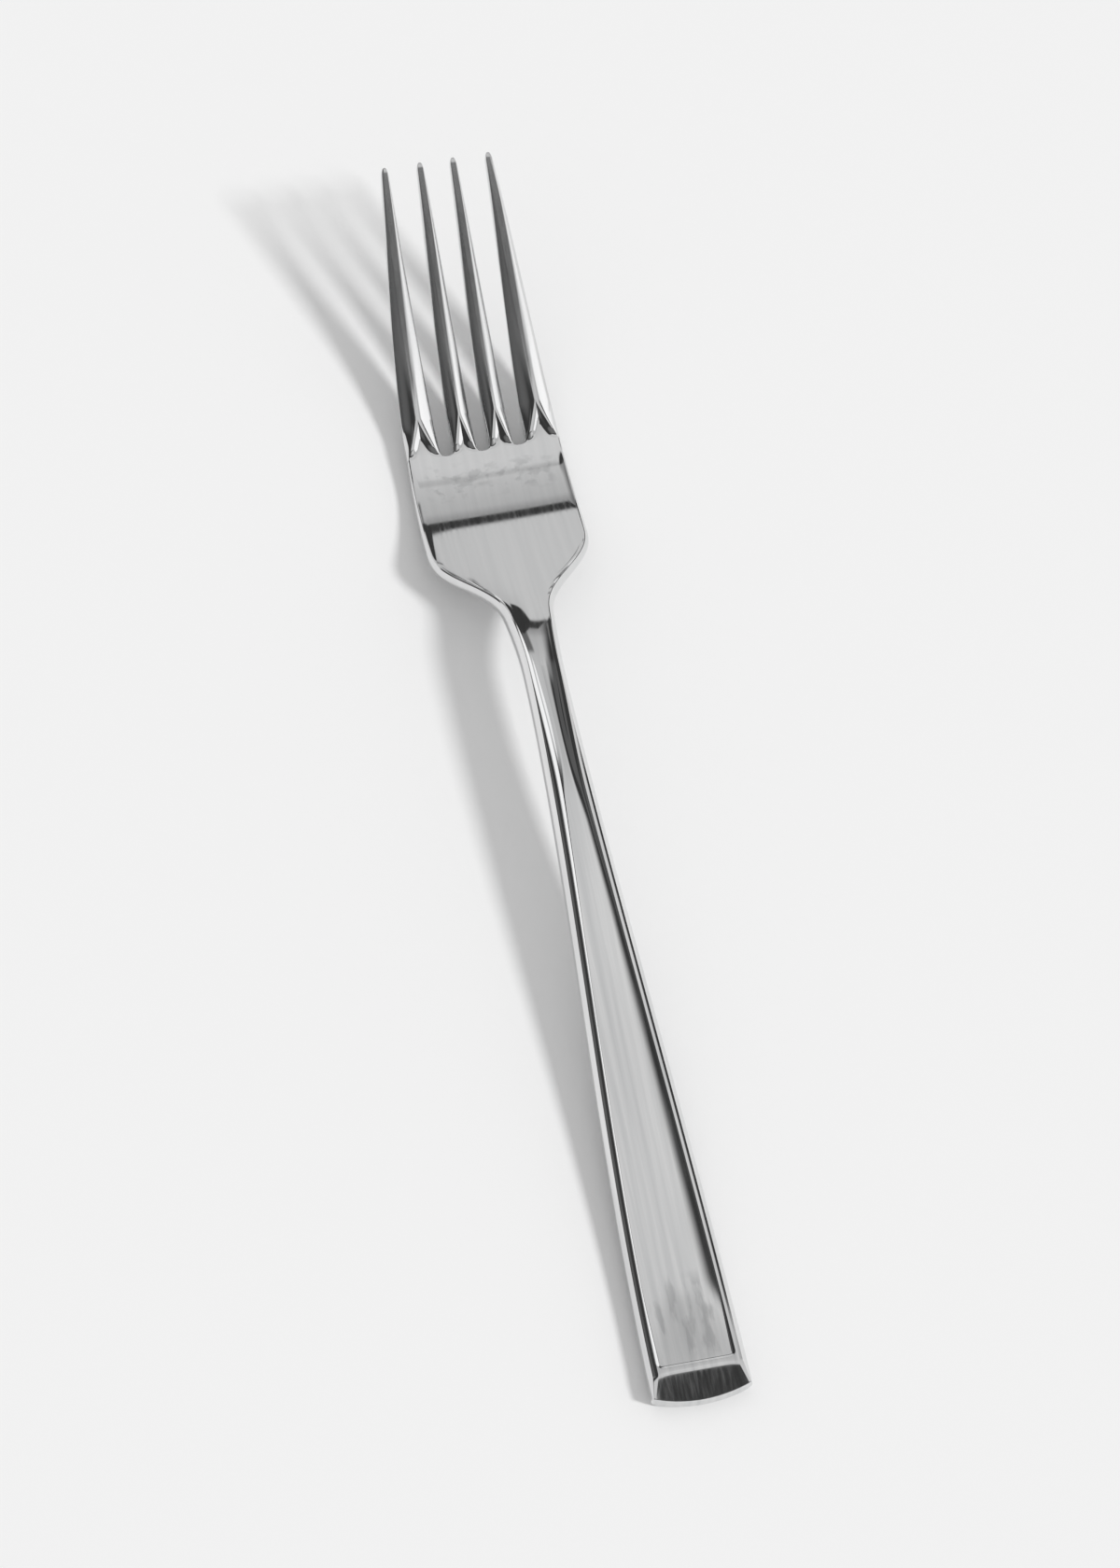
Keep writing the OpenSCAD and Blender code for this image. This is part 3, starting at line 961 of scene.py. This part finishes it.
def right_panels():
    """Bright panels to the right, and a grey one that the tines' roots mirror."""
    wall_tone = level(dz, low=0.95, high=1.5, edge=(0.2, 0.12))
    near_tone = level(dx, low=0.65, high=1.5, edge=(0.66, 0.16))
    side_wall = box(wall_tone, left=(0.64, 0.02), near=(-0.24, 0.03))
    near_wall = box(near_tone, left=(0.60, 0.13), far=(-0.24, 0.03))
    far_wall = box(1.4, left=(0.68, 0.03), near=(0.30, 0.05))
    grey = box(0.7, left=(0.40, 0.04), near=(-0.40, 0.05), far=(0.05, 0.05), low=(0.12, 0.05))
    return side_wall, near_wall, far_wall, grey


def left_panels():
    """Dim grey walls to the left, and a bright strip low down."""
    wall_tone = level(dz, low=0.095, high=0.17, edge=(0.45, 0.20))
    side_wall = box(wall_tone, right=(-0.60, 0.25), far=(0.30, 0.10))
    beside = box(0.15, left=(-0.50, 0.03), right=(-0.22, 0.03), near=(0.10, 0.04), far=(0.47, 0.10))
    near_strip = box(0.16, left=(-0.80, 0.10), right=(-0.10, 0.04), near=(-0.31, 0.02), far=(-0.215, 0.02))
    far_wall = box(0.40, right=(-0.12, 0.06), near=(0.85, 0.03))
    low_strip = box(1.0, right=(-0.48, 0.04), near=(0.21, 0.03), high=(0.15, 0.03))
    return side_wall, beside, near_strip, far_wall, low_strip


def background(strength):
    node = studio.nodes.new("ShaderNodeBackground")
    node.inputs["Color"].default_value = (1, 1, 1, 1)
    put(studio, strength, node.inputs["Strength"])
    return node.outputs[0]


def choose(factor, a, b):
    node = studio.nodes.new("ShaderNodeMixShader")
    for value, socket in zip((factor, a, b), node.inputs):
        studio.links.new(value, socket)
    return node.outputs[0]


# Tone between the panels, and the level of them all
DARK, SURROUND_GAIN = 0.055, 0.8
panels = (overhead(), behind(), camera_side(), *right_panels(), *left_panels())
surround = product(brightest(DARK, *panels), SURROUND_GAIN)
# Mirrored rays see the studio, the camera a background as pale as the table, other rays the even sky
path = studio.nodes.new("ShaderNodeLightPath").outputs
mirrored_rays = brightest(path["Is Glossy Ray"], path["Is Transmission Ray"])
seen = choose(mirrored_rays, background(AMBIENT), background(surround))
seen = choose(path["Is Camera Ray"], seen, background(FLOOR_TONE))
studio.links.new(seen, studio.nodes.new("ShaderNodeOutputWorld").inputs["Surface"])

# Camera at the photograph's angle; its focal length is in the photograph's pixels
CAM_ELEVATION, CAM_AZIMUTH, CAM_ROLL = map(math.radians, (64.766, 19.372, -8.147))
CAM_DISTANCE, CAM_AIM = 0.9, Vector((-0.595, -0.779, 5.0)) * MM
CAM_FOCUS_PX, IMAGE_LONG_SIDE = 7082.9, 1680
SENSOR_WIDTH, CLIP_NEAR, CLIP_FAR = 36.0, 0.01, 50.0


def photo_camera():
    back = Vector((-math.sin(CAM_AZIMUTH) * math.cos(CAM_ELEVATION),
                   -math.cos(CAM_AZIMUTH) * math.cos(CAM_ELEVATION), math.sin(CAM_ELEVATION)))
    across = Vector((math.cos(CAM_AZIMUTH), -math.sin(CAM_AZIMUTH), 0))
    above = back.cross(across)
    right = across * math.cos(CAM_ROLL) - above * math.sin(CAM_ROLL)
    up = across * math.sin(CAM_ROLL) + above * math.cos(CAM_ROLL)
    data = bpy.data.cameras.new("camera")
    data.sensor_width = SENSOR_WIDTH
    data.lens = CAM_FOCUS_PX / IMAGE_LONG_SIDE * SENSOR_WIDTH
    data.clip_start = CLIP_NEAR
    data.clip_end = CLIP_FAR
    camera = bpy.data.objects.new("camera", data)
    turn = Matrix((right, up, back)).transposed().to_4x4()
    camera.matrix_world = Matrix.Translation(CAM_AIM + back * CAM_DISTANCE) @ turn
    bpy.context.collection.objects.link(camera)
    return camera


bpy.context.scene.camera = photo_camera()
bpy.context.scene.view_settings.view_transform = "Standard"
